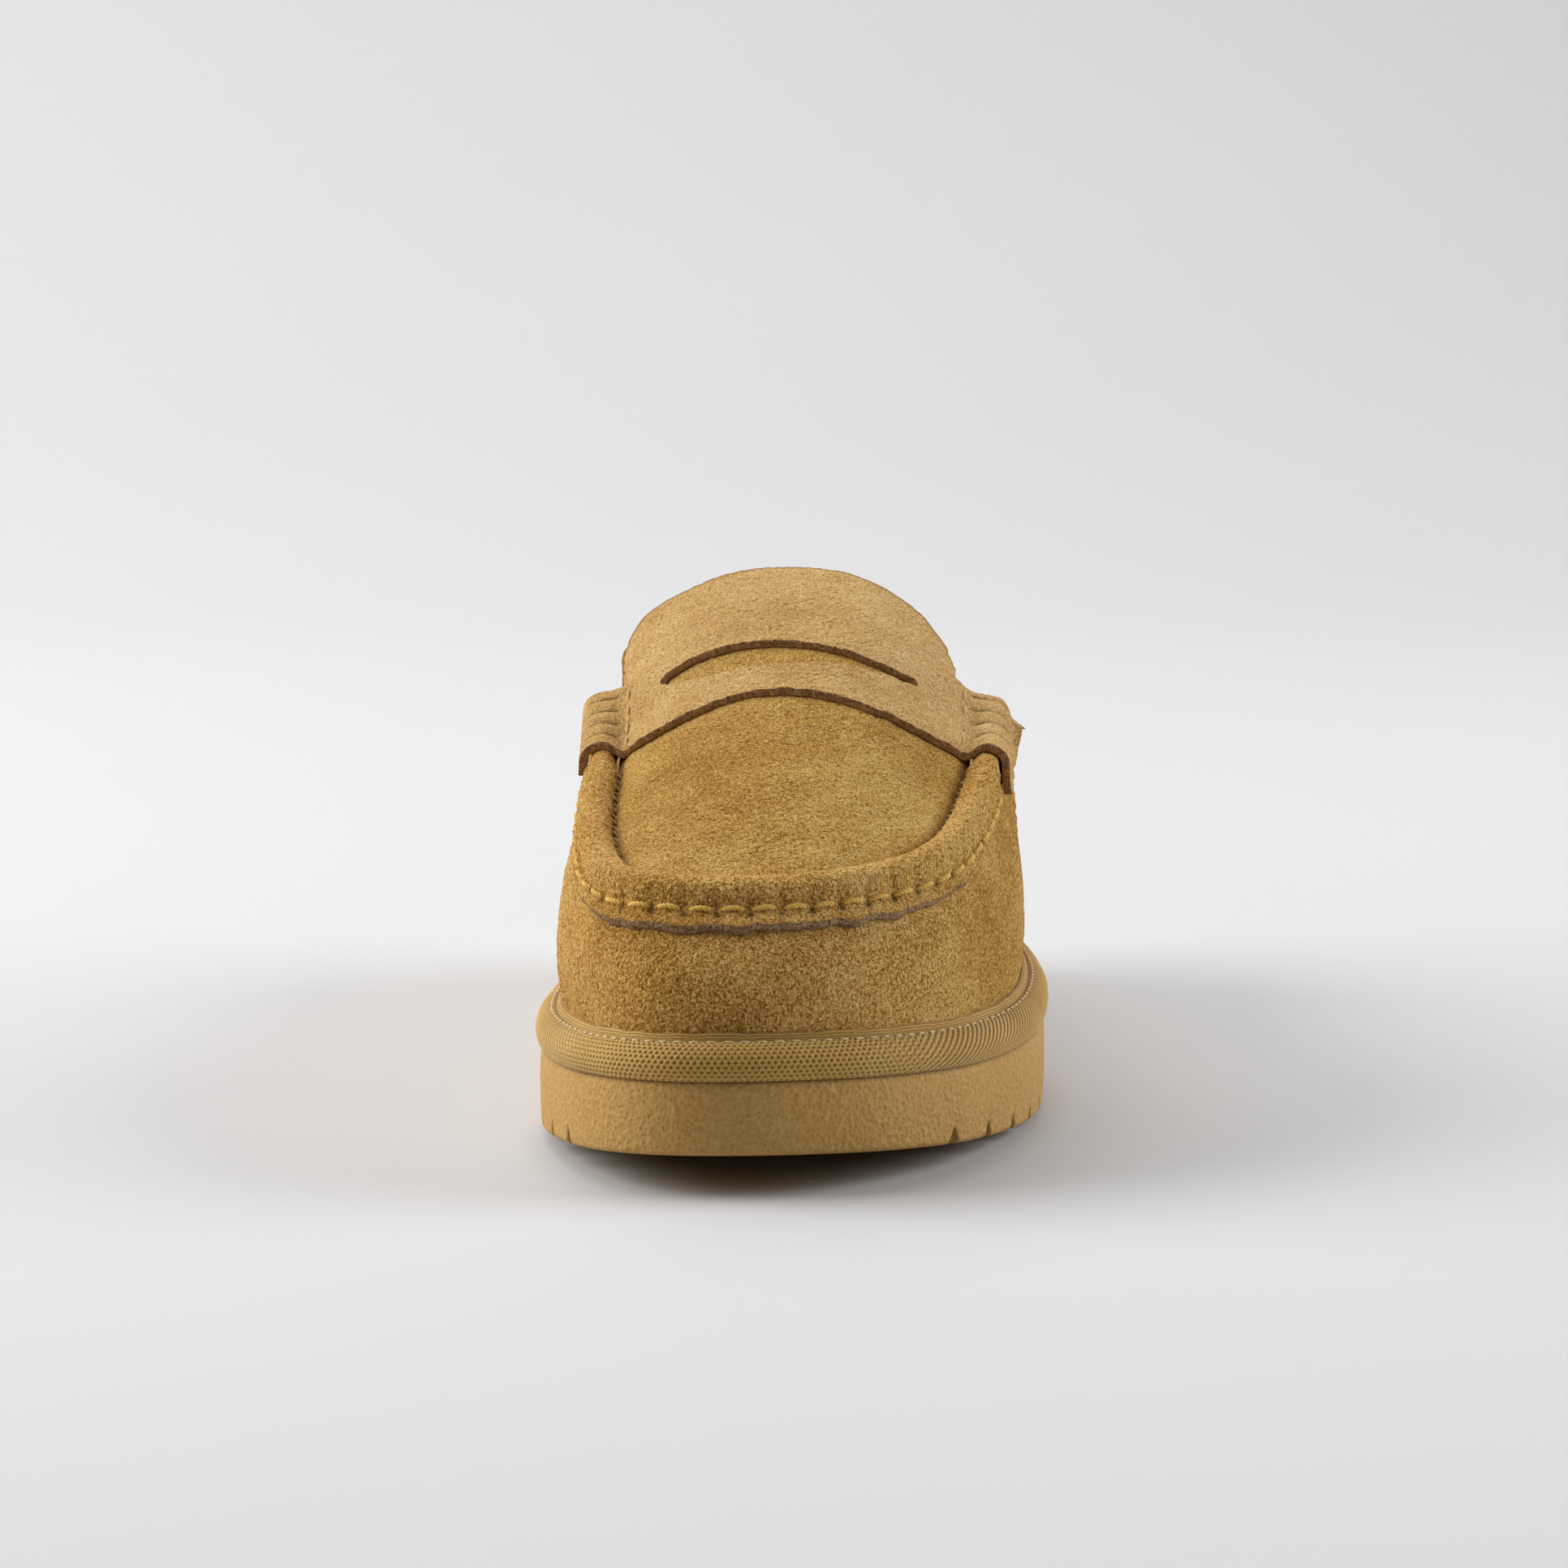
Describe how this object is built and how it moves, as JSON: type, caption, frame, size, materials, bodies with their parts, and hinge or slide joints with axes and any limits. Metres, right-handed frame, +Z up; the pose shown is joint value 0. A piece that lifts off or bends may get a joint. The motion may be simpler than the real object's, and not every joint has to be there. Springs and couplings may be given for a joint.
{
  "type": "moccasin",
  "caption": "Left slip-on suede moccasin with a rolled moc seam, slotted saddle strap, woven-covered platform and thick grooved outsole.",
  "frame": {"origin": "centre of the overall bounding box in plan, at ground level", "axes": "+Z up, -Y towards the toe, +Y towards the heel, +X towards the outer (lateral) side of a left shoe"},
  "size_m": [0.1145, 0.296, 0.118],
  "materials": {
    "suede": "napped suede",
    "lining": "smooth soft leather",
    "woven_tape": "herringbone woven tape",
    "thread": "matt twisted thread",
    "outsole": "finely pebbled matt rubber",
    "foam": "closed-cell foam",
    "board": "non-woven board",
    "stiffener": "matt moulded sheet",
    "cord": "soft twisted cord"
  },
  "bodies": {
    "shoe": {"outsole": "outsole", "platform_foam": "foam", "platform_cover": "woven_tape", "platform_cover_stitching": "thread", "slip_sock": "board", "footbed": "foam", "footbed_cover": "lining", "vamp_wall": "suede", "quarter_medial": "suede", "quarter_lateral": "suede", "heel_strip": "suede", "heel_strip_stitching": "thread", "side_seam_stitching": "thread", "toe_puff": "stiffener", "heel_counter": "stiffener", "vamp_lining": "lining", "quarter_lining": "lining", "collar_binding": "suede", "apron": "suede", "apron_lining": "lining", "rolled_seam": "suede", "seam_cord": "cord", "rolled_seam_stitching": "thread", "saddle_strap": "suede", "strap_end_stitching": "thread"},
    "tongue_body": {"tongue": "suede", "tongue_lining": "lining"}
  },
  "joints": [
    {"name": "tongue_lift", "type": "hinge", "parent": "shoe", "child": "tongue_body", "pos_m": [0, -0.0236, 0.1075], "axis": [1, 0, 0], "range_deg": [-6, 35], "stiffness_Nm_per_rad": 0.12}
  ]
}
